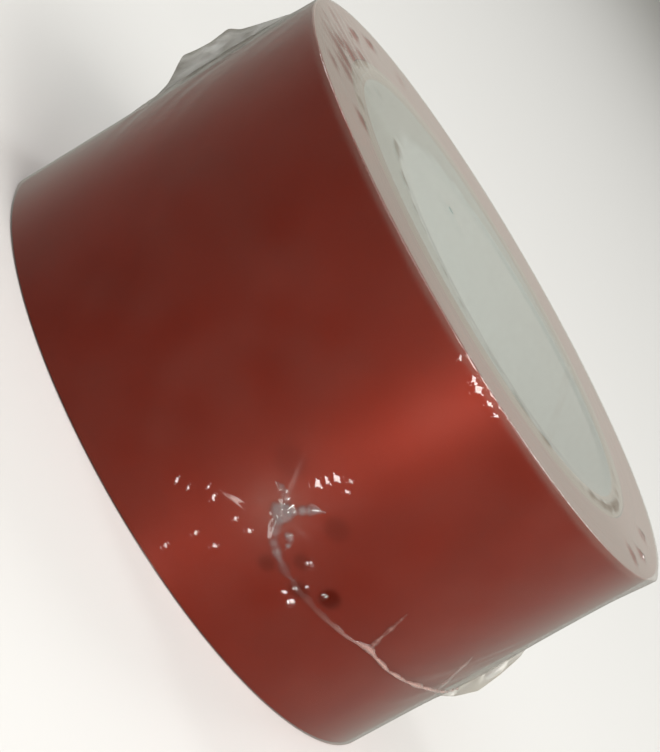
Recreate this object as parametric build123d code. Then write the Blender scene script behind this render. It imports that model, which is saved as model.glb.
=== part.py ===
"""A new roll of PVC electrical tape, sealed in clear shrink film.

The roll stands on one end face: +Z is the roll's axis, and the origin is the middle of the lower end face.
Angles round the roll are in degrees, counted from the front (-Y) towards the right (+X).
All lengths are in millimetres.
"""

from build123d import *
from math import cos, pi, radians, sin, sqrt
import os

# Tape: a strip wound on a paperboard core.
tape_width = 19.0
tape_length = 3000.0
tape_thickness = 0.13
core_bore_diameter = 26.0
core_ply_thicknesses = {"core_inner_ply": 0.40, "core_middle_ply": 0.45, "core_outer_ply": 0.40}

# Where the outer turn starts, at the strip's free end, and the stretch of that turn left with the winding.
free_end_angle = 150.0
outer_turn_overlap = 12.0

# Film: two plies that meet in one plane, welded on three sides and folded on the fourth.
film_thickness = 0.05
seam_height = 6.45
weld_width = 0.40
weld_crown = 0.10
vent_radius = 0.25
top_vent = (-4.7, 1.2)
base_vent = (5.2, -3.1)

# The bag's four corners, round the roll. The front one has shrunk to a pucker, and the others stand out as ears.
pucker_angle = 15.0
right_ear_angle = 90.0
back_ear_angle = 195.0
left_ear_angle = 270.0
weld_end_gap = 2.0

# The pucker: a small raised knot of film across the seam.
pucker_half_angle = 4.5
pucker_low = 4.7
pucker_high = 8.9
pucker_crown = 0.22

# Ears: crumpled flaps of doubled film. Heights up the roll of the flap's two ends and its tip, and how far it
# stands out. A flap is thin at its root and its tip, and fattest some way out, where its folds are.
ears = {
    "film_ear_left": {"angle": left_ear_angle, "low": 8.4, "tip": 11.6, "high": 17.6, "reach": 1.20},
    "film_ear_right": {"angle": right_ear_angle, "low": 5.4, "tip": 7.9, "high": 11.2, "reach": 0.80},
    "film_ear_back": {"angle": back_ear_angle, "low": 6.6, "tip": 9.4, "high": 14.6, "reach": 1.00},
}
ear_edge_thickness = 2 * film_thickness
ear_belly_thickness = 0.30
ear_belly_share = 0.35
ear_tip_radius = 1.2
hinge_gap = 0.12

# Sizes that follow from these.
core_outer_diameter = core_bore_diameter + 2 * sum(core_ply_thicknesses.values())
roll_radius = sqrt(4 / pi * tape_length * tape_thickness + core_outer_diameter**2) / 2
film_radius = roll_radius + film_thickness
height = tape_width + 2 * film_thickness
ear_root_radius = film_radius + hinge_gap


def direction(angle):
    """The unit vector out from the axis at an angle round the roll."""
    return Vector(sin(radians(angle)), -cos(radians(angle)))


def disc(radius, low, high):
    return Pos(0, 0, low) * Cylinder(radius, high - low, align=(Align.CENTER, Align.CENTER, Align.MIN))


def ring(inner, outer, low, high):
    return disc(outer, low, high) - disc(inner, low, high)


def wedge(start, end, low, high):
    """A slice of a disc wider than the roll, from one angle round to another."""
    reach = 2 * film_radius
    arc = CenterArc((0, 0), reach, start - 90, end - start)
    outline = [Line((0, 0), arc @ 0), arc, Line(arc @ 1, (0, 0))]
    return Pos(0, 0, low) * extrude(make_face(outline), high - low)


def spiral_face(start_radius):
    """The face inside one turn of the strip's outer side, which ends one thickness nearer the axis.

    It is two half circles about centres a quarter of a thickness either side of the axis, and the step between
    the turn's two ends.
    """
    out = direction(free_end_angle)
    offset = tape_thickness / 4
    first_radius = start_radius - offset
    second_radius = start_radius - 3 * offset
    first_half = CenterArc(out * offset, first_radius, free_end_angle - 90, 180)
    second_half = CenterArc(-out * offset, second_radius, free_end_angle + 90, 180)
    step = Line(out * (start_radius - tape_thickness), out * start_radius)
    return make_face([first_half, second_half, step])


def core_plies():
    """The core's paper plies, from the bore outwards."""
    plies = {}
    inner = core_bore_diameter / 2
    for name, thickness in core_ply_thicknesses.items():
        plies[name] = ring(inner, inner + thickness, film_thickness, film_thickness + tape_width)
        inner += thickness
    return plies


def tape_parts():
    """The wound strip, and its outer turn with the free end."""
    whole = extrude(spiral_face(roll_radius), tape_width)
    under_turn = extrude(spiral_face(roll_radius - tape_thickness), tape_width)
    overlap = wedge(free_end_angle - outer_turn_overlap, free_end_angle, 0, tape_width)
    outer_turn = whole - under_turn - overlap
    bore = disc(core_outer_diameter / 2, 0, tape_width)
    winding = whole - outer_turn - bore
    lift = Pos(0, 0, film_thickness)
    return {"tape_winding": lift * winding, "tape_outer_turn": lift * outer_turn}


def weld_spans():
    """The three welded sides, each between two corners of the bag."""
    return {
        "seam_weld_right": (pucker_angle + pucker_half_angle, right_ear_angle - weld_end_gap),
        "seam_weld_back": (right_ear_angle + weld_end_gap, back_ear_angle - weld_end_gap),
        "seam_weld_left": (back_ear_angle + weld_end_gap, left_ear_angle - weld_end_gap),
    }


def seam_welds():
    """Beads that take the film's place along the seam and stand a little proud of it."""
    low = seam_height - weld_width / 2
    high = seam_height + weld_width / 2
    bead = ring(roll_radius, film_radius + weld_crown, low, high)
    return {name: bead & wedge(*span, low, high) for name, span in weld_spans().items()}


def film_plies(welds):
    """Two cups that meet rim to rim at the seam plane. Each closes one end of the bore and has one vent hole."""
    skin = disc(film_radius, 0, height) - disc(roll_radius, film_thickness, height - film_thickness)
    for weld in welds.values():
        skin -= weld
    above = disc(2 * film_radius, seam_height, height)
    below = disc(2 * film_radius, 0, seam_height)
    top = (skin & above) - Pos(*top_vent) * disc(vent_radius, seam_height, height)
    base = (skin & below) - Pos(*base_vent) * disc(vent_radius, 0, seam_height)
    return {"film_top_ply": top, "film_base_ply": base}


def film_pucker():
    """The shrunken corner: a rounded patch on the film."""
    span = (pucker_angle - pucker_half_angle, pucker_angle + pucker_half_angle)
    patch = ring(film_radius, film_radius + pucker_crown, pucker_low, pucker_high)
    patch &= wedge(*span, pucker_low, pucker_high)
    outer_face = patch.faces().filter_by(GeomType.CYLINDER).sort_by(lambda face: face.area)[-1]
    return chamfer(outer_face.edges(), pucker_crown * 0.8)


def film_ear(angle, low, tip, high, reach):
    """A flap that stands straight out of the film along a line up the roll, with a rounded tip.

    It is the flap's outline, seen from the side, cut from a bar with the flap's section.
    """
    edge = ear_edge_thickness / 2
    belly = ear_belly_thickness / 2
    belly_out = reach * ear_belly_share
    half_section = [(0, edge), (belly_out, belly), (reach, edge)]
    other_half = [(x, -y) for x, y in reversed(half_section)]
    section = make_face(Polyline(*half_section, *other_half, close=True))
    bar = Pos(0, 0, low) * extrude(section, high - low)
    outline = make_face(Plane.XZ * Polyline((0, low), (reach, tip), (0, high), close=True))
    tip_corner = outline.vertices().sort_by(Axis.X)[-1]
    flap = bar & extrude(fillet(tip_corner, ear_tip_radius), belly, both=True)
    return Rot(0, 0, angle - 90) * Pos(ear_root_radius, 0, 0) * flap


def make_parts():
    welds = seam_welds()
    parts = core_plies() | tape_parts() | film_plies(welds) | welds
    parts["film_pucker"] = film_pucker()
    for name, shape in ears.items():
        parts[name] = film_ear(**shape)
    return parts


os.makedirs("parts", exist_ok=True)
for node, shape in make_parts().items():
    export_step(shape, f"parts/{node}.step")

print(f"roll diameter {2 * roll_radius:.2f} mm, wrapped {2 * film_radius:.2f} mm across and {height:.2f} mm high")
print(f"ear hinge lines are {ear_root_radius:.3f} mm from the axis")
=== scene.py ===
"""Looks for a new roll of electrical tape, sealed in clear shrink film.

Shapes are worked out in millimetres and turned into metres when a mesh is made. Angles round the roll are
in degrees, counted from the front (-Y) towards the right (+X), as in the part. A place on the side is an
angle round the roll and a height up it, and a place on an end face is its x and y.
"""

import math

import bpy
import numpy as np
from mathutils import Matrix, Vector


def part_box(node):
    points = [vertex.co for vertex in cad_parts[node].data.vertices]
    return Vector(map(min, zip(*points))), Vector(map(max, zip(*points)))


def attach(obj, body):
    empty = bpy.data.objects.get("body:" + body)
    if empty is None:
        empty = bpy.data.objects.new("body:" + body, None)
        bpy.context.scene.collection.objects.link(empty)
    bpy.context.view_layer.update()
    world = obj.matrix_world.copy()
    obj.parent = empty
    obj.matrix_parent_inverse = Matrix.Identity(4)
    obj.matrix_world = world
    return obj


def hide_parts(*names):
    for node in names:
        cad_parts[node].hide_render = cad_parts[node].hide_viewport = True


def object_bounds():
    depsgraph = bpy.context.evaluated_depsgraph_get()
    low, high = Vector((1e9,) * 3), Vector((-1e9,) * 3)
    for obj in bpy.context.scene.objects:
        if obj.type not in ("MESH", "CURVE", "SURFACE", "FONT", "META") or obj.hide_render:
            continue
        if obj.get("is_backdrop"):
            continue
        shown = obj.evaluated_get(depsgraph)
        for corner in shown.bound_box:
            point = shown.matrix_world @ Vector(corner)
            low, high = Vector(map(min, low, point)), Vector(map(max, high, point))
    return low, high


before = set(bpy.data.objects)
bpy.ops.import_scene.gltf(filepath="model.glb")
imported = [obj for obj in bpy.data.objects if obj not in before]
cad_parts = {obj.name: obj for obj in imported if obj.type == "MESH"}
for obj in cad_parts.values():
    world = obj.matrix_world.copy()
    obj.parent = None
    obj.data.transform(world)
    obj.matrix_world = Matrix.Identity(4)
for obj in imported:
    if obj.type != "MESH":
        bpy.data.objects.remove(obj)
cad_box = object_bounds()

MM = 0.001

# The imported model's own sizes.
film_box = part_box("film_top_ply")
winding_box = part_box("tape_winding")
FILM_RADIUS = film_box[1][0] / MM
HEIGHT = film_box[1][2] / MM
TAPE_LOW = winding_box[0][2] / MM
TAPE_HIGH = winding_box[1][2] / MM
PLY_RADII = [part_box(f"core_{ply}_ply")[1][0] / MM for ply in ("inner", "middle", "outer")]

# The part's sizes that no box gives.
INNER_PLY = 0.40
BORE_RADIUS = PLY_RADII[0] - INNER_PLY
TAPE_RADIUS = FILM_RADIUS - TAPE_LOW
TAPE_THICKNESS = 0.13
FREE_END_ANGLE = 150.0
TOP_VENT = (-4.7, 1.2)
BASE_VENT = (5.2, -3.1)
VENT_RADIUS = 0.25

# The film: how far its outside stays in from the part's film surface, and how it rounds the roll's rims.
FILM_INSET = 0.012
FILM_OUTER = FILM_RADIUS - FILM_INSET
TOP_RIM_RADIUS = 0.13
BASE_RIM_RADIUS = 0.07

# The camera: the roll seen from the front, a little from above, with the camera turned on its side. The
# distance and the offset are in film radii.
CAMERA_DISTANCE = 8.0
CAMERA_OFFSET = (0.0406, 0.0149)
AXIS_LEAN = math.radians(29.98)
AXIS_TILT = math.radians(12.37)
LENS = 125.7
SENSOR_WIDTH = 36

# How bright the room is round the roll: the ground behind it on the left and right, the wall behind, the
# front.
GROUND_LEFT = 0.265
GROUND_RIGHT = 0.33
SKY_BACK = 0.56
ROOM_FRONT = 0.05
ROOM_COLOUR = (1.0, 0.975, 0.875, 1)
DAYLIGHT = (1.0, 0.96, 0.92)
LOW_DAYLIGHT = (1.0, 0.92, 0.86)
WHITE = (1, 1, 1)


def out_from_axis(angle):
    """Unit vectors out from the axis at angles round the roll, as an array with a last axis of x and y."""
    turn = np.radians(angle)
    return np.stack([np.sin(turn), -np.cos(turn)], axis=-1)


def around(radius, angle, level):
    """Points at radii from the axis, angles round it and heights up it."""
    radius, angle, level = np.broadcast_arrays(radius, angle, level)
    return np.concatenate([radius[..., None] * out_from_axis(angle), level[..., None]], axis=-1)


def smooth(low, high, value):
    """0 at low, 1 at high and beyond, and a smooth change between. High may be below low."""
    share = np.clip((value - low) / (high - low), 0, 1)
    return share * share * (3 - 2 * share)


def bump(distance, width):
    """A bell shape: 1 at no distance, and 0.37 one width away."""
    return np.exp(-((distance / width) ** 2))


def wrapped(angle):
    """Angles brought into -180 to 180."""
    return (angle + 180) % 360 - 180


def arc_between(angle, other):
    """The distance along the film from one angle to another, in millimetres."""
    return np.radians(wrapped(angle - other)) * FILM_RADIUS


def unrolled(path):
    """A path on the side, from angles and heights to millimetres round from the front and up."""
    return [(arc_between(angle, 0), level) for angle, level in path]


def softened(values, times):
    """Values after some runs of a three-point average. The two ends stay."""
    for _ in range(times):
        values[1:-1] = (values[:-2] + 2 * values[1:-1] + values[2:]) / 4
    return values


def value_noise(x, y, z, seed):
    """Smooth noise from -1 to 1 at places x, y, z, by mixing random values at whole-number corners."""
    points = np.stack(np.broadcast_arrays(x, y, z), axis=-1)
    table = np.random.default_rng(seed).uniform(-1, 1, 4096)
    cell = np.floor(points).astype(int)
    part = points - cell
    part = part * part * (3 - 2 * part)
    total = np.zeros(points.shape[:-1])
    for corner in np.ndindex(2, 2, 2):
        at = cell + corner
        index = (at[..., 0] * 73856093 ^ at[..., 1] * 19349663 ^ at[..., 2] * 83492791) % 4096
        weight = np.prod(np.where(corner, part, 1 - part), axis=-1)
        total += table[index] * weight
    return total


def mesh_object(name, points, faces, material, crease_angle=None):
    """A smooth mesh from points in millimetres. Edges that turn by more than crease_angle stay sharp."""
    mesh = bpy.data.meshes.new(name)
    mesh.from_pydata((np.asarray(points).reshape(-1, 3) * MM).tolist(), [], faces)
    mesh.validate()
    mesh.polygons.foreach_set("use_smooth", [True] * len(mesh.polygons))
    if crease_angle:
        mesh.set_sharp_from_angle(angle=math.radians(crease_angle))
    mesh.materials.append(material)
    piece = bpy.data.objects.new(name, mesh)
    bpy.context.collection.objects.link(piece)
    return piece


def grid_faces(rows, columns, round_rows=False, round_columns=False):
    """Quads of a grid of points, row by row. It can close on itself either way."""
    i, j = np.meshgrid(
        np.arange(rows if round_rows else rows - 1),
        np.arange(columns if round_columns else columns - 1),
        indexing="ij",
    )
    next_i, next_j = (i + 1) % rows, (j + 1) % columns
    corners = [i * columns + j, i * columns + next_j, next_i * columns + next_j, next_i * columns + j]
    return np.stack(corners, axis=-1).reshape(-1, 4)


def set_numbers(piece, name, numbers):
    """A number at each point of a mesh, which its material reads by name."""
    attribute = piece.data.attributes.new(name, "FLOAT", "POINT")
    attribute.data.foreach_set("value", np.asarray(numbers, dtype=float).ravel())


def on_body(piece, body, slot, *nodes):
    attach(piece, body)
    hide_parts(*nodes)


# --------------------------------------------------------------------------------------------------
# Materials

# Each pair of colours is a material's darker and lighter shade.
TAPE_SHADES = ((0.285, 0.029, 0.0145), (0.315, 0.033, 0.017))
TAPE_EDGE_SHADES = ((0.10, 0.012, 0.008), (0.30, 0.034, 0.020))
TAPE_SHEEN = (1.0, 0.45, 0.38, 1)
LINER_SHADES = ((0.35, 0.42, 0.405), (0.42, 0.50, 0.48))
BOARD_SHADES = ((0.24, 0.16, 0.10), (0.36, 0.26, 0.18))
CUT_BOARD_SHADES = ((0.11, 0.072, 0.043), (0.20, 0.138, 0.088))
FLOOR_COLOUR = (0.60, 0.60, 0.59, 1)

# The film: what it lets through and mirrors where it is clear and where painted shade dims it, and how much
# light one of its faces mirrors when it is seen straight on.
CLEAR_TINT = (0.97, 0.975, 0.97, 1)
PAINTED_SHADE_TINT = (0.64, 0.60, 0.56, 1)
HEAD_ON_MIRROR = 0.04

# Noise cells to a metre, and the rings that the wave texture draws for the strip's turns.
MOTTLE_SCALE = 260
GRAIN_SCALE = 5200
LINER_FIBRE_SCALE = 2400
BOARD_FIBRE_SCALE = 2800
CUT_FIBRE_SCALE = 3400
TURN_RING_SCALE = 2 * math.pi / (20 * TAPE_THICKNESS * MM)


class Graph:
    """The nodes of a material or a world, with short ways to add them and join them."""

    def __init__(self, tree):
        self.nodes, self.links = tree.nodes, tree.links

    def add(self, kind, inputs, **settings):
        """A node with its settings and inputs. An input takes a value or another node's output."""
        node = self.nodes.new("ShaderNode" + kind)
        for name, setting in settings.items():
            setattr(node, name, setting)
        for name, value in inputs.items():
            self.feed(node.inputs[name], value)
        return node.outputs

    def feed(self, socket, value):
        if isinstance(value, bpy.types.NodeSocket):
            self.links.new(value, socket)
        else:
            socket.default_value = value

    def maths(self, operation, *numbers):
        return self.add("Math", dict(enumerate(numbers)), operation=operation)[0]

    def colour_mix(self, share, first, second):
        return self.add("Mix", {"Factor": share, "A": first, "B": second}, data_type="RGBA")["Result"]

    def colour_ramp(self, share, shades, ends=(0.0, 1.0)):
        """From the first shade to the second as the share goes from one end to the other."""
        node = self.nodes.new("ShaderNodeValToRGB")
        for element, shade, position in zip(node.color_ramp.elements, shades, ends):
            element.position = position
            element.color = (*shade, 1)
        self.feed(node.inputs["Fac"], share)
        return node.outputs["Color"]

    def smooth_step(self, source, low, high, first, last):
        """A number that goes smoothly from first to last as the source goes from low to high."""
        inputs = {"Value": source, "From Min": low, "From Max": high, "To Min": first, "To Max": last}
        return self.add("MapRange", inputs, interpolation_type="SMOOTHSTEP")[0]

    def relief(self, height, strength, distance):
        return self.add("Bump", {"Strength": strength, "Distance": distance, "Height": height})["Normal"]

    def attribute(self, name):
        return self.add("Attribute", {}, attribute_name=name)["Fac"]

    def object_places(self):
        return self.add("TexCoord", {})["Object"]

    def surface(self, shader):
        self.add("OutputMaterial", {"Surface": shader})


def new_material(name):
    """A material and its graph, with no nodes yet."""
    material = bpy.data.materials.new(name)
    material.use_nodes = True
    material.node_tree.nodes.clear()
    return material, Graph(material.node_tree)


def end_face_share(graph):
    """1 on the end faces and 0 on the faces round the axis."""
    normal = graph.add("NewGeometry", {})["True Normal"]
    return graph.maths("ABSOLUTE", graph.add("SeparateXYZ", {0: normal})["Z"])


def tape_material():
    """Glossy dark red PVC. The strip's edges, on the end faces, show as fine rings of PVC and darker
    glue."""
    material, graph = new_material("tape_pvc")
    places = graph.object_places()
    mottle = graph.add("TexNoise", {"Vector": places, "Scale": MOTTLE_SCALE, "Detail": 3})["Fac"]
    rings = {"Vector": places, "Scale": TURN_RING_SCALE, "Distortion": 1.2, "Detail": 2}
    rings["Detail Scale"] = 0.06
    turns = graph.add("TexWave", rings, wave_type="RINGS", rings_direction="Z")["Fac"]
    face = graph.colour_ramp(mottle, TAPE_SHADES, (0.35, 0.68))
    edge = graph.colour_ramp(turns, TAPE_EDGE_SHADES)
    grain = graph.add("TexNoise", {"Vector": places, "Scale": GRAIN_SCALE, "Detail": 2})["Fac"]
    shader = graph.add("BsdfPrincipled", {
        "Base Color": graph.colour_mix(end_face_share(graph), face, edge),
        "Roughness": 0.32,
        "Metallic": 0.64,
        "Specular Tint": TAPE_SHEEN,
        "Normal": graph.relief(grain, 0.03, 0.00001),
    })
    graph.surface(shader["BSDF"])
    return material


def fibres(graph, scale, shades):
    """Fibres between two close shades: their height and their colour."""
    inputs = {"Vector": graph.object_places(), "Scale": scale, "Detail": 5, "Roughness": 0.65}
    height = graph.add("TexNoise", inputs)["Fac"]
    return height, graph.colour_ramp(height, shades, (0.3, 0.7))


def board_material(name, shades, scale):
    """Paperboard: fibres and flecks between two close shades, browner where its cut ends show."""
    material, graph = new_material(name)
    height, face = fibres(graph, scale, shades)
    _, cut_end = fibres(graph, CUT_FIBRE_SCALE, CUT_BOARD_SHADES)
    shader = graph.add("BsdfPrincipled", {
        "Base Color": graph.colour_mix(end_face_share(graph), face, cut_end),
        "Roughness": 0.85,
        "Normal": graph.relief(height, 0.4, 0.00004),
    })
    graph.surface(shader["BSDF"])
    return material


def sheet_mirror(graph):
    """How much a thin clear sheet mirrors, the same from both sides: a face's share F, then 2F / (1 +
    F)."""
    grazing = graph.maths("POWER", graph.add("LayerWeight", {"Blend": 0.5})["Facing"], 5)
    one_face = graph.maths("MULTIPLY_ADD", grazing, 1 - HEAD_ON_MIRROR, HEAD_ON_MIRROR)
    return graph.maths("DIVIDE", graph.maths("MULTIPLY", one_face, 2), graph.maths("ADD", one_face, 1))


def film_material(name, most_milk, milk_colour, roughness):
    """Clear film: it mirrors as a thin sheet and is seen through. It is milkier where the haze attribute is
    high. The shade attribute is painted shade: it darkens both what the film lets through and what it
    mirrors."""
    material, graph = new_material(name)
    # Painted shade: the shade attribute mixes in the painted-shade tint, for both the see-through part and
    # the mirror.
    tint = graph.colour_mix(graph.attribute("shade"), CLEAR_TINT, PAINTED_SHADE_TINT)
    milkiness = graph.add("MapRange", {"Value": graph.attribute("haze"), "To Max": most_milk})[0]
    clear = graph.add("BsdfTransparent", {"Color": tint})[0]
    milk = graph.add("BsdfDiffuse", {"Color": (*milk_colour, 1)})[0]
    gloss = graph.add("BsdfGlossy", {"Color": tint, "Roughness": roughness})[0]
    sheet = graph.add("MixShader", {0: milkiness, 1: clear, 2: milk})[0]
    graph.surface(graph.add("MixShader", {0: sheet_mirror(graph), 1: sheet, 2: gloss})[0])
    return material


def plain_material(name, colour, roughness):
    material, graph = new_material(name)
    graph.surface(graph.add("BsdfPrincipled", {"Base Color": colour, "Roughness": roughness})["BSDF"])
    return material


# --------------------------------------------------------------------------------------------------
# The core and the wound strip

# The paper plies: how finely their meshes are cut, and how far their edges are softened.
PLY_COLUMNS = 240
PLY_ROWS = 60
PLY_SOFT_EDGE = 0.06
SHARP_EDGE_ANGLE = 30

# The butt joint in the liner: degrees at the base, height of one full turn, width and depth.
JOINT_START = 40
JOINT_PITCH = 62.0
JOINT_WIDTH = 0.16
JOINT_DEPTH = 0.07

# The strip: degrees between its mesh's rows, its softened edge, the gap between turns, how far its edges
# wander, and how far round its last turn goes before it is tucked under the free end.
RIBBON_STEP = 1.6
RIBBON_EDGE = 0.010
TURN_GAP = 0.002
EDGE_WANDER = 0.015
OUTER_TURN_SPAN = 348.0


def liner_joint(angle, level):
    """How deep the liner's butt joint is at a place. It climbs the bore in a slow screw."""
    across = wrapped(angle - level / JOINT_PITCH * 360 - JOINT_START) * math.pi / 180 * BORE_RADIUS
    return JOINT_DEPTH * bump(across, JOINT_WIDTH)


def tube(name, inner, outer, material, groove=None):
    """A paper ply: a closed ring with softened edges. groove says how far its inside is pushed out at each
    angle and height."""
    soft = PLY_SOFT_EDGE
    angles = np.arange(PLY_COLUMNS) * 360 / PLY_COLUMNS
    heights = np.linspace(TAPE_LOW + soft, TAPE_HIGH - soft, PLY_ROWS)
    radii = [inner] * PLY_ROWS + [inner + soft, outer - soft, outer, outer, outer - soft, inner + soft]
    levels = [*heights, TAPE_HIGH, TAPE_HIGH, TAPE_HIGH - soft, TAPE_LOW + soft, TAPE_LOW, TAPE_LOW]
    levels = np.array(levels)[:, None]
    radii = np.repeat(np.array(radii)[:, None], PLY_COLUMNS, axis=1)
    if groove is not None:
        radii[:PLY_ROWS] += groove(angles[None, :], heights[:, None])
    faces = grid_faces(len(levels), PLY_COLUMNS, round_rows=True, round_columns=True)
    points = around(radii, angles[None, :], levels)
    return mesh_object(name, points, faces.tolist(), material, SHARP_EDGE_ANGLE)


def make_core():
    """The core's three paper plies, from the bore outwards. The innermost is the pale liner."""
    liner = board_material("core_liner_paper", LINER_SHADES, LINER_FIBRE_SCALE)
    board = board_material("core_board_paper", BOARD_SHADES, BOARD_FIBRE_SCALE)
    looks = ((liner, "core_liner", liner_joint), (board, "core_board", None), (board, "core_board", None))
    inner = BORE_RADIUS
    for name, outer, (paper, slot, groove) in zip(("inner", "middle", "outer"), PLY_RADII, looks):
        node = f"core_{name}_ply"
        on_body(tube(node + "_paper", inner, outer, paper, groove), "roll", slot, node)
        inner = outer


def ribbon(name, first, last, material):
    """The strip between two places, in degrees wound back from its free end. Its edges wander a little, as
    the edges of wound tape do."""
    steps = int((last - first) / RIBBON_STEP) + 1
    turned = np.linspace(first, last, steps)
    outer = TAPE_RADIUS - turned / 360 * TAPE_THICKNESS
    inner = outer - TAPE_THICKNESS + TURN_GAP
    shift = EDGE_WANDER * value_noise(turned / 70, turned / 360 * 5.3, 0, seed=3)
    low, high = TAPE_LOW + EDGE_WANDER, TAPE_HIGH - EDGE_WANDER
    edge = RIBBON_EDGE
    section = [
        (inner, low + edge), (inner + edge, low), (outer - edge, low), (outer, low + edge),
        (outer, high - edge), (outer - edge, high), (inner + edge, high), (inner, high - edge),
    ]
    corners = len(section)
    rows = [around(radius, FREE_END_ANGLE + turned, level + shift) for radius, level in section]
    faces = grid_faces(steps, corners, round_columns=True).tolist()
    first_end = list(range(corners))
    last_end = list(range(steps * corners - 1, (steps - 1) * corners - 1, -1))
    points = np.stack(rows, axis=1)
    return mesh_object(name, points, [*faces, first_end, last_end], material, SHARP_EDGE_ANGLE)


def make_tape():
    material = tape_material()
    turns = (TAPE_RADIUS - PLY_RADII[-1]) / TAPE_THICKNESS
    start = (turns - 1) * 360
    on_body(ribbon("tape_turns", OUTER_TURN_SPAN, start, material), "roll", "tape", "tape_winding")
    on_body(ribbon("tape_last_turn", 0, OUTER_TURN_SPAN, material), "roll", "tape", "tape_outer_turn")


# --------------------------------------------------------------------------------------------------
# The film's relief on the side

# Small creased facets in the film are turned half way between the window and the front: by this angle round
# the roll, and by this slope up it.
GLINT_ANGLE = 14.5
GLINT_SLOPE = 0.44

# Facets: angle round the roll, height up it, radius of the facet.
FACETS = (
    (13.2, 9.42, 0.19), (13.55, 9.88, 0.17), (13.85, 10.34, 0.18), (15.4, 10.85, 0.09), (16.6, 10.4, 0.10),
    (24.1, 6.80, 0.18), (28.4, 4.80, 0.18), (26.3, 4.85, 0.12), (26.7, 5.42, 0.12), (27.5, 5.95, 0.11),
    (30.5, 6.35, 0.12), (1.6, 3.50, 0.12), (3.4, 3.80, 0.10), (4.9, 4.70, 0.09), (6.8, 4.60, 0.12),
    (7.0, 18.68, 0.10), (11.0, 18.66, 0.13), (12.7, 18.60, 0.19), (15.6, 18.66, 0.12), (17.7, 18.62, 0.10),
    (10.3, 2.85, 0.09), (13.6, 3.30, 0.11), (9.6, 1.20, 0.10), (14.3, 5.20, 0.10), (11.5, 4.95, 0.08),
)

# The pucker: the middle of its star as millimetres round from the front and up, and half the span of angles
# round it where the side has its own relief.
PUCKER_MIDDLE = (4.5, 7.1)
PUCKER_ANGLE = 15
PUCKER_SPAN = 40

# Raised folds: their width, how tall they are and how milky, then their path.
FOLDS = {
    "arm": (0.34, 0.05, 0.52, ((14.4, 7.2), (15.1, 7.6), (15.8, 8.1), (16.5, 8.5), (17.8, 8.95))),
    "spur": (0.26, 0.012, 0.34, ((14.0, 7.3), (12.8, 7.6), (11.2, 7.85), (9.5, 7.7))),
    "river": (0.30, 0.035, 0.34,
              ((14.9, 6.9), (15.5, 6.5), (17.5, 5.95), (20.0, 5.7), (23.3, 5.5), (25.6, 5.56))),
    "crescent": (0.20, 0.05, 0.50, ((17.5, 6.65), (18.6, 6.75), (19.4, 6.55), (19.9, 6.15))),
}
SEAM_BRANCHES = (
    (0.18, 0.02, 0.28, ((45.2, 6.23), (44.1, 7.1), (43.1, 8.15), (42.2, 9.0))),
    (0.20, 0.02, 0.38, ((72.0, 6.5), (68.9, 7.45), (66.2, 8.6), (64.0, 9.6))),
)

# Low ridges where the film is pulled towards the pucker: width, how tall, and their path.
TENSION_LINES = (
    (0.30, 0.035, ((14.2, 6.8), (10.5, 5.9), (6.5, 5.3), (2.5, 4.6))),
    (0.26, 0.035, ((20.0, 5.7), (19.2, 4.6), (17.4, 3.6), (15.5, 2.2))),
    (0.30, 0.030, ((12.5, 7.6), (9.0, 8.9), (5.5, 10.6))),
    (0.35, 0.030, ((33.5, 5.6), (36.0, 4.6), (38.0, 3.2))),
    (0.40, 0.030, ((17.8, 9.0), (20.0, 10.4), (21.5, 12.2))),
)

# Blisters: angle, height, radius and how tall.
BLISTERS = (
    (21.2, 7.35, 1.30, 0.055), (31.8, 6.5, 0.60, 0.07), (8.8, 6.3, 0.9, 0.05), (20.5, 4.4, 0.7, 0.04),
)

# Spots where the film stands clear of the tape, with painted shade that darkens the film's tint: angle,
# height, radius and how dark.
PAINTED_DARK_SPOTS = (
    (31.7, 6.45, 0.80, 0.80), (20.3, 5.0, 0.60, 0.55), (23.2, 6.5, 0.60, 0.50), (21.3, 8.9, 0.90, 0.35),
    (27.3, 5.5, 0.65, 0.55), (8.0, 8.9, 1.2, 0.25),
)

# A clear window in the milky film: its angle and height, where its border starts and ends, and how clear it
# is.
CLEAR_SPOT = (31.8, 6.5)
CLEAR_SPOT_BORDER = (0.38, 0.55)
CLEAR_SPOT_SHARE = 0.95

# Ears: the angle they stand at, how strongly the film is crumpled round them, and their outline as heights
# up the roll and radii.
EARS = {
    "left": (270, 1.0, (
        (7.4, 18.2), (9.1, 18.62), (10.6, 19.52), (11.4, 19.40), (12.3, 19.34), (13.6, 19.46), (14.1, 19.08),
        (15.3, 18.76), (16.4, 18.5), (17.6, 18.2),
    )),
    "right": (90, 0.55, (
        (4.9, 18.2), (5.7, 18.72), (7.1, 19.10), (7.9, 19.00), (8.7, 18.88), (10.1, 18.56), (10.9, 18.2),
    )),
    "back": (195, 0.8, (
        (6.6, 18.2), (7.6, 18.6), (9.0, 19.15), (10.1, 19.0), (11.6, 18.85), (13.2, 18.5), (14.5, 18.2),
    )),
}
EAR_CRUMPLE_REACH = 6.0
EAR_HAZE_REACH = 6.5

# Places where the bag's corners pull the film out over a rim: angle, height up the roll and how far, and
# how far round and up each pull reaches.
CORNER_PULLS = ((-76, 0.0, 0.07), (87, HEIGHT, 0.20))
CORNER_PULL_REACH = (1.3, 2.2)


def distance_to_path(across, up, path):
    """The distance to a run of straight pieces, and how far along it the nearest place is, from 0 to 1."""
    nearest = np.full(np.broadcast(across, up).shape, 1e9)
    along = np.zeros_like(nearest)
    steps = len(path) - 1
    for number, ((x0, y0), (x1, y1)) in enumerate(zip(path[:-1], path[1:])):
        run_x, run_y = x1 - x0, y1 - y0
        share = ((across - x0) * run_x + (up - y0) * run_y) / (run_x**2 + run_y**2)
        share = np.clip(share, 0, 1)
        away = np.hypot(across - x0 - share * run_x, up - y0 - share * run_y)
        closer = away < nearest
        nearest = np.where(closer, away, nearest)
        along = np.where(closer, (number + share) / steps, along)
    return nearest, along


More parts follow.
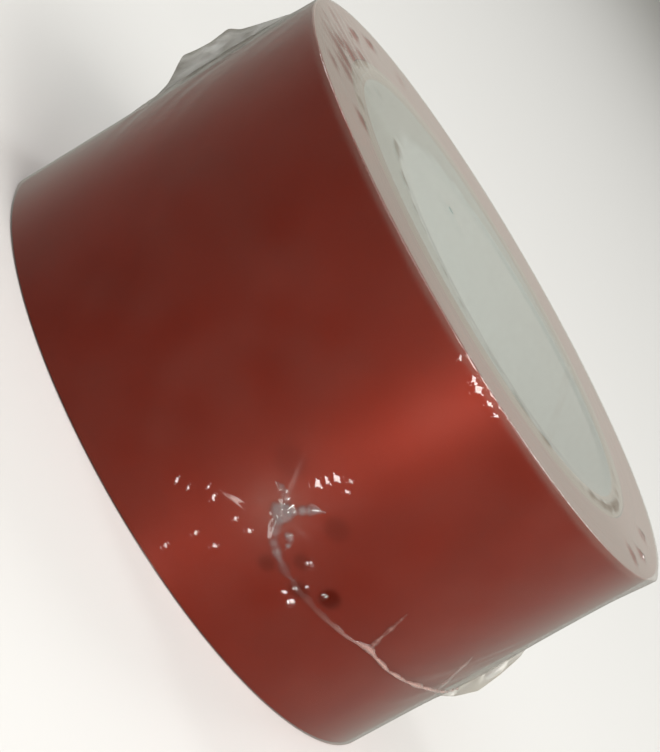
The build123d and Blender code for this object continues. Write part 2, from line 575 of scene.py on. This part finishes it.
def facet(across, up, angle, radius):
    """A small flat turned so that the window is mirrored in it towards the front, with a soft border."""
    lean = math.tan(math.radians(GLINT_ANGLE - angle)) * 0.9
    plane = -lean * across - GLINT_SLOPE * up
    return plane * (1 - smooth(0.8 * radius, 2.2 * radius, np.hypot(across, up)))


def ear_places(angle, level):
    """For each ear: how strongly it crumples the film, the distance round from it, the height from its
    middle, its half height, and the coarse and fine noise that its folds follow. The folds run up the side
    and fan out."""
    for number, (ear_angle, strength, outline) in enumerate(EARS.values()):
        low, high = outline[0][0], outline[-1][0]
        away = arc_between(angle, ear_angle)
        up = level - (low + high) / 2
        fan = away * (1 + 0.10 * up)
        folds = value_noise(fan * 1.1, level * 0.28 + fan * 0.25, number, seed=11)
        fine = value_noise(fan * 2.6, level * 0.7, number + 7, seed=12)
        yield strength, away, up, (high - low) / 2, folds, fine


def ear_crumples(angle, level):
    """The film's relief round the ears: it stands off the roll and lies in folds."""
    lift = np.zeros(np.broadcast(angle, level).shape)
    for strength, away, up, half, folds, fine in ear_places(angle, level):
        near = bump(away, EAR_CRUMPLE_REACH) * bump(up, half * 1.15)
        ridged = ((1 - np.abs(folds) * 2.2) * 0.11 + fine * 0.035) * strength
        lift += near * (0.10 + ridged) + 0.10 * bump(away, 1.5) * bump(up, half * 0.9)
    return lift


def add_pucker(lift, across, level):
    """Adds the relief round the pucker: rays, the feet of the folds, tension lines, blisters and facets."""
    x, y = across - PUCKER_MIDDLE[0], level - PUCKER_MIDDLE[1]
    away = np.hypot(x, y)
    turn = np.arctan2(y, x)
    rays = value_noise(np.cos(turn) * 3.2, np.sin(turn) * 3.2, away * 0.25, seed=31)
    lift += 0.032 * rays * bump(away - 2.2, 1.9)
    for width, tall, _, path in (*FOLDS.values(), *SEAM_BRANCHES):
        away, along = distance_to_path(across, level, unrolled(path))
        lift += tall * 0.35 * bump(away, width * 1.5) * (1 - smooth(0.75, 1.0, along))
    for width, tall, path in TENSION_LINES:
        away, along = distance_to_path(across, level, unrolled(path))
        lift += tall * bump(away, width) * (1 - smooth(0.5, 1.0, along))
    for spot_angle, spot_level, radius, tall in BLISTERS:
        away = np.hypot(across - arc_between(spot_angle, 0), level - spot_level)
        lift += tall * np.clip(1 - (away / radius) ** 2, 0, 1) ** 1.3
    for spot_angle, spot_level, radius in FACETS:
        x, y = across - arc_between(spot_angle, 0), level - spot_level
        lift += facet(x, y, spot_angle, radius) + 0.2 * radius * bump(np.hypot(x, y), 1.8 * radius)


def side_relief(angle, level):
    """How far the film stands off the roll's side, in millimetres."""
    angle, level = np.broadcast_arrays(angle, level)
    across = arc_between(angle, 0)
    lift = 0.012 * value_noise(across * 0.22, level * 0.16, 0, seed=21) + ear_crumples(angle, level)
    reach_round, reach_up = CORNER_PULL_REACH
    for pull_angle, pull_level, tall in CORNER_PULLS:
        lift += tall * bump(arc_between(angle, pull_angle), reach_round) * bump(level - pull_level, reach_up)
    front = np.abs(wrapped(angle - PUCKER_ANGLE)) < PUCKER_SPAN
    if front.any():
        part = lift[front]
        add_pucker(part, across[front], level[front])
        lift[front] = part
    return lift


def side_haze(angle, level):
    """How milky the film looks on the side: most where it is folded or stands off the tape."""
    angle, level = np.broadcast_arrays(angle, level)
    across = arc_between(angle, 0)
    haze = np.zeros(angle.shape)
    for _, away, up, half, folds, fine in ear_places(angle, level):
        spread = bump(away, EAR_HAZE_REACH) * bump(up, half * 1.3)
        cloud = value_noise(away * 1.1, level * 0.45, 5, seed=41)
        crest = np.clip(1 - 4 * np.abs(folds + 0.2 * fine), 0, 1)
        haze += spread * (0.28 + 0.26 * cloud + 0.34 * crest)
    from_knot = np.hypot(across - 4.3, level - 7.0)
    haze += 0.14 * bump(from_knot, 1.7) * (np.abs(across) < 20)
    haze += 0.022 + 0.014 * value_noise(across * 0.5, level * 0.5, 0, seed=42)
    from_clear = np.hypot((across - arc_between(CLEAR_SPOT[0], 0)) / 1.3, level - CLEAR_SPOT[1])
    haze *= 1 - CLEAR_SPOT_SHARE * (1 - smooth(*CLEAR_SPOT_BORDER, from_clear))
    return np.clip(haze, 0, 1)


def side_painted_shade(angle, level):
    """The painted shade on the side: spots painted darker in the film's tint."""
    across = arc_between(angle, 0)
    shade = np.zeros(np.broadcast(angle, level).shape)
    for spot_angle, spot_level, radius, dark in PAINTED_DARK_SPOTS:
        away = np.hypot(across - arc_between(spot_angle, 0), 1.25 * (level - spot_level))
        shade = np.maximum(shade, dark * (1 - smooth(0.5 * radius, 1.1 * radius, away)))
    return shade


# --------------------------------------------------------------------------------------------------
# The film's relief on the end faces and the upper rim

# Short wrinkles where the film folds over the upper rim, most of them by the left ear: x, y of both ends.
# Their heights take turns.
FACE_WRINKLES = (
    (-16.4, -4.7, -12.8, -5.2), (-12.3, -7.4, -10.1, -7.8), (-12.8, -0.8, -11.5, -0.6),
    (-15.9, 5.3, -14.8, 6.4), (-13.8, 10.7, -12.4, 9.0), (15.4, -3.9, 16.6, -5.2),
    (16.0, -1.8, 17.0, -1.7), (-14.9, -8.2, -13.4, -8.9), (-16.0, -3.2, -14.6, -3.3),
    (-15.8, -2.0, -13.4, -1.8), (-14.6, -6.3, -12.4, -6.6), (-15.2, 0.6, -13.6, 1.0),
    (-16.4, 2.2, -15.4, 2.8), (-13.0, -3.6, -11.6, -3.4), (-11.4, -9.9, -9.8, -10.6),
    (15.6, 2.2, 16.6, 2.6),
)
WRINKLE_HEIGHTS = (0.15, 0.10, 0.13)
WRINKLE_WIDTH = 0.26
WRINKLE_BEND = (0.12, -0.10)

# The middle and reach of the crushed film by the left ear.
CRUSH_PLACE = (-14.6, -2.5)
CRUSH_REACH = 5.0

# The shallow dish over the bore: its middle on the upper and the lower face, its radius, its depth, and the
# height of the ragged ridge along its border.
DISH_CENTRES = {True: (2.0, -0.7), False: (-1.0, 0.5)}
DISH_RADIUS = 11.5
DISH_DEPTH = 0.09
DISH_BORDER_HEIGHT = 0.055

# Painted shade that dims the film between the dish and the core and at the front of the upper face, and how
# milky the film is where it bends over the upper rim.
GAP_PAINTED_SHADE = 0.30
FRONT_PAINTED_SHADE = 0.50
RIM_MILK = 0.20

# Small flats on the upper rim: angle and half their length. Then how tall they are.
RIM_FACETS = ((7.0, 0.20), (11.0, 0.24), (12.7, 0.36), (15.6, 0.22), (17.7, 0.18))
RIM_FACET_HEIGHT = 0.05


def from_dish(x, y, top):
    """The distance from the middle of an end face's dish."""
    centre = DISH_CENTRES[top]
    return np.hypot(x - centre[0], y - centre[1])


def dish_share(x, y, top):
    """1 inside the dish over the bore and 0 outside it."""
    return 1 - smooth(DISH_RADIUS - 0.35, DISH_RADIUS + 0.1, from_dish(x, y, top))


def dish_border(x, y):
    """How much of a ragged ridge the upper film has at a place along the dish's near border."""
    ragged = value_noise(x * 1.1, y * 1.1, 6, seed=53)
    near_edge = smooth(2.0, -5.0, y) + smooth(11.5, 13.5, x)
    ridge = bump(from_dish(x, y, True) - DISH_RADIUS - 0.15, 0.20 + 0.12 * ragged)
    return np.clip(0.45 + 0.9 * ragged, 0, 1.2) * near_edge * ridge


def upper_wrinkles(x, y):
    """The short wrinkles by the rim and the crushed film by the left ear."""
    lift = 0.0
    for number, (x0, y0, x1, y1) in enumerate(FACE_WRINKLES):
        bend = ((x0 + x1) / 2 + WRINKLE_BEND[0], (y0 + y1) / 2 + WRINKLE_BEND[1])
        away, along = distance_to_path(x, y, [(x0, y0), bend, (x1, y1)])
        tall = WRINKLE_HEIGHTS[number % len(WRINKLE_HEIGHTS)]
        lift += tall * bump(away, WRINKLE_WIDTH) * np.sin(np.pi * np.clip(along, 0.06, 0.94))
    near_ear = bump(np.hypot(x - CRUSH_PLACE[0], y - CRUSH_PLACE[1]), CRUSH_REACH)
    crush = value_noise(x * 0.7, y * 2.3, 9, seed=52)
    return lift + 0.045 * near_ear * crush * smooth(11.0, 12.5, np.hypot(x, y))


def face_relief(x, y, top):
    """How far the film stands off the end face. It lies close to the face over the core and by the rim."""
    away = from_dish(x, y, top)
    lift = -DISH_DEPTH * (1 - smooth(DISH_RADIUS - 1.6, DISH_RADIUS + 0.05, away))
    lift += 0.010 * value_noise(x * 0.22, y * 0.22, 3 + top, seed=51)
    if top:
        lift += DISH_BORDER_HEIGHT * dish_border(x, y) + upper_wrinkles(x, y)
    radius = np.hypot(x, y)
    free = smooth(BORE_RADIUS + 0.2, BORE_RADIUS + 1.0, radius)
    free = free * (1 - smooth(FILM_RADIUS - 1.0, FILM_RADIUS, radius))
    return lift * np.where(away < DISH_RADIUS + 0.5, 1, np.maximum(free, 0.25))


def face_haze(x, y, top):
    """How milky the film is on an end face: clear over the dish."""
    in_dish = dish_share(x, y, top)
    cloud = value_noise(x * 0.5, y * 0.5, 2, seed=43)
    return (1 - in_dish) * (0.14 + 0.05 * cloud) + 0.03 * in_dish


def face_painted_shade(x, y, top):
    """Painted shade on the upper face: a painted dark shadow line along the dish's ragged border, and
    painted shade from there to the core and over the front of the face."""
    by_core = 1 - smooth(BORE_RADIUS - 0.6, BORE_RADIUS + 0.9, np.hypot(x, y))
    in_front = smooth(2.0, -8.0, y) * (1 - 0.5 * smooth(-5.0, 6.0, x))
    outside = np.maximum(GAP_PAINTED_SHADE * by_core, FRONT_PAINTED_SHADE * in_front) * (1 - dish_share(x, y, top))
    return top * np.clip(np.maximum(dish_border(x, y), outside), 0, 1)


def rim_bump(angle):
    """Small flats on the upper rim."""
    total = 0.006 * value_noise(arc_between(angle, 0) * 1.3, 0, 0, seed=61)
    for spot, half_length in RIM_FACETS:
        total = total + RIM_FACET_HEIGHT * bump(arc_between(angle, spot), half_length)
    return total


# --------------------------------------------------------------------------------------------------
# The film's pieces

# The line where the two plies meet, as angles and heights. It wanders about the part's seam plane.
SEAM_PATH = (
    (-180, 6.5), (-130, 6.3), (-92, 6.5), (-60, 6.45), (-20, 6.45), (5, 6.6), (10, 6.9), (15, 6.8),
    (18, 5.95), (21, 5.65), (27, 5.46), (33, 5.56), (40, 5.85), (45, 6.22), (52, 6.05), (58, 6.12),
    (65, 6.33), (72, 6.46), (90, 6.5), (120, 6.3), (150, 6.6), (180, 6.5),
)

# The plies' meshes, closest together across the pucker: start, end and step of the angles round the film,
# and start, end and number of the rings on a face and on a side, as shares of the way to its edge.
ANGLE_STEPS = ((-3, 34, 0.18), (34, 94, 0.7), (94, 250, 1.6), (250, 357, 1.0))
FACE_RINGS = ((0, 0.45, 9), (0.45, 1, 62))
RIM_RINGS = ((0, 90, 9),)
TOP_SIDE_RINGS = ((0, 0.07, 12), (0.07, 0.62, 18), (0.62, 1, 80))
BASE_SIDE_RINGS = ((0, 1, 106),)

# How far the folds and the knot lie off the film, and how tall and milky the knot is.
FOLD_LIFT = 0.010
KNOT_LIFT = 0.012
KNOT_HEIGHT = 0.08
KNOT_MILK = 0.54

# The knot's middle and the corners of its outline.
KNOT_MIDDLE = (14.35, 7.1)
KNOT_OUTLINE = (
    (12.0, 7.0), (13.3, 7.5), (14.0, 7.85), (15.0, 7.75), (15.9, 7.55), (16.3, 7.0), (15.5, 6.5),
    (14.4, 6.55), (13.2, 6.6),
)

# The beads: degrees between rows, half width and height, and the angles between which the right one grows
# to its full strength as it leaves the pucker. Each bead has thicker knots: their angle and how much
# thicker.
BEAD_STEP = 0.35
BEAD_HALF_WIDTH = 0.115
BEAD_HEIGHT = 0.08
BEAD_GROWS = (30, 50)
RIGHT_KNOTS = ((45.2, 0.08), (63.5, 0.10), (72.0, 0.10))
BACK_KNOTS = ((120, 0.10), (158, 0.13))
LEFT_KNOTS = ((214, 0.12), (243, 0.10))
NOISE_PER_DEGREE = 0.316

# The ears' flaps: rows up and columns out, and how far their roots are sunk in the film's surface.
FLAP_ROWS = 90
FLAP_COLUMNS = 26
FLAP_ROOT = FILM_RADIUS - 0.02


def seam_path(angle):
    return np.interp(wrapped(angle), *zip(*SEAM_PATH))


def ring_places(spans):
    """Even steps over each span, from start to end. Spans share their ends, and the first start is left
    out."""
    return np.concatenate([np.linspace(*span)[1:] for span in spans])


def half_film(name, top, material):
    """One ply: the end face with its vent hole, a small round over the rim, and the side down to the
    seam."""
    angle = np.concatenate([np.arange(*span) for span in ANGLE_STEPS])
    direction = out_from_axis(angle)
    facing = 1 if top else -1
    face_level = HEIGHT - FILM_INSET if top else FILM_INSET
    vent = TOP_VENT if top else BASE_VENT
    rim_radius = TOP_RIM_RADIUS if top else BASE_RIM_RADIUS
    flat_edge = FILM_OUTER - rim_radius
    rim_level = face_level - facing * rim_radius
    rings, haze, shade = [], [], []

    # Each ring carries its milkiness and its painted shade, which darkens the film's tint.
    def add_ring(ring, milk, dark=0.0):
        rings.append(ring)
        haze.append(np.broadcast_to(milk, angle.shape))
        shade.append(np.broadcast_to(dark, angle.shape))

    # The face's rings start round the vent hole and grow into circles about the axis. The film under the
    # base can't go down, so only its dish shows there.
    for share in (0, *ring_places(FACE_RINGS)):
        reach = VENT_RADIUS + (flat_edge - VENT_RADIUS) * share
        x = direction[:, 0] * reach + vent[0] * (1 - share)
        y = direction[:, 1] * reach + vent[1] * (1 - share)
        lift = face_relief(x, y, top) + 0.05 * bump(reach - VENT_RADIUS, 0.25)
        level = face_level + (lift if top else -np.minimum(lift, 0))
        add_ring(np.stack([x, y, level], axis=-1), face_haze(x, y, top), face_painted_shade(x, y, top))
    rim = rim_bump(angle) if top else np.zeros_like(angle)
    side_start = side_relief(angle, np.full_like(angle, rim_level))
    for tilt in np.radians(ring_places(RIM_RINGS)):
        grow = math.sin(tilt)
        crest = rim * math.sin(2 * tilt)
        radius = flat_edge + (rim_radius + side_start) * grow + crest
        level = rim_level + facing * (rim_radius * math.cos(tilt) + 0.5 * crest)
        add_ring(around(radius, angle, level), RIM_MILK * top)
    seam = seam_path(angle)
    for share in ring_places(TOP_SIDE_RINGS if top else BASE_SIDE_RINGS):
        level = rim_level + (seam - rim_level) * share
        radius = FILM_OUTER + side_relief(angle, level)
        milk = side_haze(angle, level) + RIM_MILK * top * bump(level - rim_level, 0.22)
        add_ring(around(radius, angle, level), milk, side_painted_shade(angle, level))
    faces = grid_faces(len(rings), len(angle), round_columns=True)
    if top:
        faces = faces[:, ::-1]
    piece = mesh_object(name, np.stack(rings), faces.tolist(), material)
    set_numbers(piece, "haze", np.stack(haze))
    set_numbers(piece, "shade", np.stack(shade))
    return piece


def cross_hump(columns):
    """Places across a fold, from -1 to 1, and how high the fold is there: 1 in the middle and 0 at its
    sides."""
    offset = np.linspace(-1, 1, columns)
    return offset, (1 + np.cos(np.pi * offset)) / 2


def fold_strip(path, width, tall, milk, seed, rows=46, columns=9):
    """A raised fold along a path on the film: rows of points across it and how milky each is."""
    known = np.linspace(0, 1, len(path))
    share = np.linspace(0, 1, rows)
    angle = softened(np.interp(share, known, [a for a, _ in path]), 3)
    level = softened(np.interp(share, known, [z for _, z in path]), 3)
    x = arc_between(angle, 0)
    run = np.stack([np.gradient(x), np.gradient(level)], axis=1)
    run /= np.linalg.norm(run, axis=1, keepdims=True)
    side = np.stack([-run[:, 1], run[:, 0]], axis=1)
    noise = value_noise(share * 9, seed, 0, seed=71)
    ends = 0.5 + 0.5 * smooth(0, 0.12, share)
    ends = ends * (1 - 0.75 * smooth(0.7, 1, share))
    wide = width * (1 + 0.35 * noise) * ends
    offset, hump = cross_hump(columns)
    turned = np.degrees((x[:, None] + side[:, :1] * wide[:, None] * offset) / FILM_RADIUS)
    up = level[:, None] + side[:, 1:] * wide[:, None] * offset
    high = tall * ends[:, None] * (1 + 0.4 * noise[:, None]) * hump
    radius = FILM_OUTER + FOLD_LIFT + side_relief(turned, up) + high
    breaks = value_noise(share * 14, seed, 3, seed=72)
    along = np.clip(0.8 + 0.75 * breaks, 0.4, 1.3) * (1 - 0.6 * smooth(0.75, 1, share))
    return around(radius, turned, up)[:, ::-1], milk * hump**0.8 * along[:, None]


def knot_patch(segments=40, rings=9):
    """The knot in the middle of the pucker: a small raised pad with a five-cornered outline."""
    middle_angle, middle_level = KNOT_MIDDLE
    outline = np.array(KNOT_OUTLINE)
    x = np.radians(outline[:, 0] - middle_angle) * FILM_RADIUS
    z = outline[:, 1] - middle_level
    turn = np.arctan2(z, x)
    order = np.argsort(turn)
    turns = np.linspace(-np.pi, np.pi, segments, endpoint=False)
    edge = np.interp(turns, turn[order], np.hypot(x, z)[order], period=2 * np.pi)
    share = np.linspace(0.02, 1, rings)[:, None]
    across = arc_between(middle_angle, 0) + share * edge * np.cos(turns)
    up = middle_level + share * edge * np.sin(turns)
    dome = 1 - smooth(0.35, 1.0, share) * np.ones_like(across)
    crease = 0.02 * value_noise(across * 1.7, up * 1.7, 0, seed=81)
    turned = np.degrees(across / FILM_RADIUS)
    radius = FILM_OUTER + KNOT_LIFT + side_relief(turned, up) + (KNOT_HEIGHT + crease) * dome
    milk = KNOT_MILK * (1 - smooth(0.60, 1.0, share)) * np.ones_like(across)
    return around(radius, turned, up), milk


def join_patches(name, patches, material):
    """One mesh from several grids of points. Each patch says whether its rows close into rings."""
    points, faces, haze = [], [], []
    for grid, milk, closed in patches:
        start = sum(len(part) for part in points)
        quads = grid_faces(grid.shape[0], grid.shape[1], round_columns=closed)
        points.append(grid.reshape(-1, 3))
        faces.extend((quads + start).tolist())
        haze.append(milk.ravel())
    piece = mesh_object(name, np.concatenate(points), faces, material)
    set_numbers(piece, "haze", np.concatenate(haze))
    return piece


def make_pucker(material):
    patches = [(*knot_patch(), True)]
    for number, (width, tall, milk, path) in enumerate(FOLDS.values()):
        patches.append((*fold_strip(path, width, tall, milk, seed=number + 1), False))
    on_body(join_patches("pucker_folds", patches, material), "roll", "film", "film_pucker")


def seam_bead(name, first, last, node, material, knots, branches=()):
    """The melted edge: a thin raised bead, thicker at the knots, faint where it leaves the pucker."""
    angle = np.linspace(first, last, int((last - first) / BEAD_STEP))
    along = arc_between(angle, 0) if last < 180 else angle * NOISE_PER_DEGREE
    rough = value_noise(along * 1.6, 2, 0, seed=91)
    fine = value_noise(along * 5.0, 5, 0, seed=92)
    strength = smooth(*BEAD_GROWS, angle) if first < BEAD_GROWS[0] else np.ones_like(angle)
    thick = BEAD_HALF_WIDTH + 0.045 * rough + 0.02 * fine + 0.05 * (1 - strength)
    tall = (BEAD_HEIGHT + 0.035 * rough) * (0.25 + 0.75 * strength)
    for spot, size in knots:
        near = bump(arc_between(angle, spot), 0.45)
        thick = thick + size * near
        tall = tall + 0.4 * size * near
    level = seam_path(angle) + 0.035 * rough + 0.02 * fine
    offset, hump = cross_hump(9)
    up = level[:, None] + thick[:, None] * offset
    turned = np.repeat(angle[:, None], len(offset), 1)
    radius = FILM_OUTER + FOLD_LIFT + side_relief(turned, up) + tall[:, None] * np.sqrt(hump)
    haze = (0.07 + 0.79 * strength)[:, None] * hump**0.6 * (0.85 + 0.20 * rough[:, None])
    patches = [(around(radius, turned, up)[:, ::-1], haze[:, ::-1], False)]
    for number, (width, branch_tall, milk, path) in enumerate(branches):
        patches.append((*fold_strip(path, width, branch_tall, milk, seed=number + 11), False))
    on_body(join_patches(name, patches, material), "roll", "weld", node)


def ear_flap(side, angle, outline, material):
    """A crumpled flap of doubled film that stands out of the side along a line up the roll."""
    levels = np.linspace(outline[0][0], outline[-1][0], FLAP_ROWS)
    reach = softened(np.interp(levels, [z for z, _ in outline], [r for _, r in outline]), 2)
    share = np.linspace(0, 1, FLAP_COLUMNS)
    radius = FLAP_ROOT + (reach[:, None] - FLAP_ROOT) * share
    level = np.repeat(levels[:, None], FLAP_COLUMNS, 1)
    out = radius - FLAP_ROOT
    creases = value_noise(out * 2.2, level * 0.9 + out * 0.8, angle * 0.01, seed=101)
    fine = value_noise(out * 5.5, level * 2.1, 4, seed=102)
    room = np.clip(out / 0.35, 0, 1) * (1 - 0.55 * share)
    aside = (0.09 * (1 - 2.2 * np.abs(creases)) + 0.03 * fine) * room * out.max()
    turned = angle + np.degrees(aside / radius)
    haze = 0.80 + 0.12 * fine + 0.15 * bump(share - 1, 0.10) - 0.15 * creases + 0.2 * bump(share, 0.3)
    patch = (around(radius, turned, level), np.clip(haze, 0.15, 1), False)
    piece = join_patches(f"ear_flap_{side}", [patch], material)
    on_body(piece, f"ear_{side}", "film", f"film_ear_{side}")


def make_film():
    """All of the film's pieces. Each kind of film has its most milk, the milk's colour and its
    roughness."""
    clear = film_material("film_clear", 0.62, (0.38, 0.355, 0.30), 0.13)
    fold = film_material("film_fold", 0.80, (0.26, 0.235, 0.235), 0.16)
    weld = film_material("film_weld", 0.80, (0.52, 0.33, 0.29), 0.22)
    flap = film_material("film_flap", 0.92, (0.30, 0.295, 0.25), 0.36)
    on_body(half_film("film_top", True, clear), "roll", "film", "film_top_ply")
    on_body(half_film("film_base", False, clear), "roll", "film", "film_base_ply")
    make_pucker(fold)
    seam_bead("seam_bead_right", 25, 88, "seam_weld_right", weld, RIGHT_KNOTS, SEAM_BRANCHES)
    seam_bead("seam_bead_back", 92, 193, "seam_weld_back", weld, BACK_KNOTS)
    seam_bead("seam_bead_left", 197, 268, "seam_weld_left", weld, LEFT_KNOTS)
    for side, (angle, _, outline) in EARS.items():
        ear_flap(side, angle, outline, flap)


# --------------------------------------------------------------------------------------------------
# The stage, lights and camera

# Lamps: azimuth and elevation from the roll, distance, width and height, how bright the face is, and its
# colour.
LAMPS = {
    "window_strip": (29, 10, 600, 100, 250, 17.0, DAYLIGHT),
    "window_low": (23, -30, 600, 90, 120, 5.0, LOW_DAYLIGHT),
    "window_top": (29, 40, 600, 290, 330, 10.0, DAYLIGHT),
    "back_strip": (160, 44, 700, 140, 330, 7.0, WHITE),
    "left_strip": (-112, 36, 700, 120, 420, 6.0, WHITE),
    "front_fill": (-38, 42, 700, 700, 400, 1.35, WHITE),
    "right_fill": (64, 30, 700, 420, 420, 1.1, WHITE),
}
CEILING_PLACE = (60, -120, 700)
CEILING_SIZE = (900, 700)
LAMP_AIM = (0, 0, 10)
FLOOR_RADIUS = 4


def make_stage():
    """A pale floor. The film's sheen is left to the world and the lamps, so the floor is not mirrored in
    it."""
    bpy.ops.mesh.primitive_circle_add(vertices=96, radius=FLOOR_RADIUS, fill_type="NGON", location=(0, 0, 0))
    floor = bpy.context.object
    floor.name = "floor"
    floor.data.materials.append(plain_material("floor_paper", FLOOR_COLOUR, 0.9))
    floor.visible_glossy = False
    floor.visible_shadow = False
    floor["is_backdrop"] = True


def panel_lamp(name, place, width, tall, radiance, colour):
    """A flat soft lamp that faces the roll. Its power follows from how bright its face is."""
    light = bpy.data.lights.new(name, "AREA")
    light.shape = "RECTANGLE"
    light.size = width * MM
    light.size_y = tall * MM
    light.energy = radiance * math.pi * light.size * light.size_y
    light.color = colour
    lamp = bpy.data.objects.new(name, light)
    bpy.context.collection.objects.link(lamp)
    lamp.location = Vector(place) * MM
    towards = Vector(LAMP_AIM) - Vector(place)
    lamp.rotation_mode = "QUATERNION"
    lamp.rotation_quaternion = towards.to_track_quat("-Z", "Y")


def make_lamps():
    for name, (azimuth, elevation, distance, width, tall, radiance, colour) in LAMPS.items():
        rise = math.radians(elevation)
        out = out_from_axis(azimuth) * distance * math.cos(rise)
        place = (out[0], out[1], distance * math.sin(rise) + LAMP_AIM[2])
        panel_lamp(name, place, width, tall, radiance, colour)
    panel_lamp("ceiling", CEILING_PLACE, *CEILING_SIZE, 1.0, WHITE)


def make_world():
    """A dim room in front of the roll and a pale one behind it, brighter above the horizon."""
    world = bpy.data.worlds.new("studio")
    bpy.context.scene.world = world
    world.use_nodes = True
    graph = Graph(world.node_tree)
    background = graph.nodes["Background"]
    axes = graph.add("SeparateXYZ", {0: graph.add("TexCoord", {})["Generated"]})
    to_back = graph.smooth_step(axes["Y"], -0.6, 0.9, 0.0, 1.0)
    ground = graph.smooth_step(axes["X"], -0.4, 0.4, GROUND_LEFT, GROUND_RIGHT)
    above = graph.smooth_step(axes["Z"], 0.0, 0.10, 0.0, 1.0)
    below = graph.maths("SUBTRACT", 1.0, above)
    ground_part = graph.maths("MULTIPLY", ground, below)
    sky_part = graph.maths("MULTIPLY", above, SKY_BACK)
    behind = graph.maths("MULTIPLY", graph.maths("ADD", sky_part, ground_part), to_back)
    graph.feed(background.inputs["Color"], ROOM_COLOUR)
    graph.feed(background.inputs["Strength"], graph.maths("ADD", behind, ROOM_FRONT))


def make_camera():
    """The roll's axis leans up to the right of the picture and tips towards the camera."""
    flat = math.cos(AXIS_TILT)
    axis = Vector((flat * math.cos(AXIS_LEAN), flat * math.sin(AXIS_LEAN), math.sin(AXIS_TILT)))
    across = Vector((-math.sin(AXIS_LEAN), math.cos(AXIS_LEAN), 0))
    front = axis.cross(across)
    camera_to_roll = Matrix((-across, -front, axis))
    roll_middle = Vector((*CAMERA_OFFSET, -CAMERA_DISTANCE)) * FILM_RADIUS
    place = Vector((0, 0, HEIGHT / 2)) - camera_to_roll @ roll_middle
    camera_data = bpy.data.cameras.new("camera")
    camera_data.lens = LENS
    camera_data.sensor_width = SENSOR_WIDTH
    camera_data.clip_start = 0.01
    camera = bpy.data.objects.new("camera", camera_data)
    bpy.context.collection.objects.link(camera)
    camera.rotation_mode = "QUATERNION"
    camera.rotation_quaternion = camera_to_roll.to_quaternion()
    camera.location = place * MM
    bpy.context.scene.camera = camera
    bpy.context.scene.view_settings.view_transform = "Standard"


make_camera()
make_core()
make_tape()
make_film()
make_stage()
make_lamps()
make_world()

boxes = {"cad": cad_box, "visual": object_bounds()}
{name: [list(corner) for corner in box] for name, box in boxes.items()}
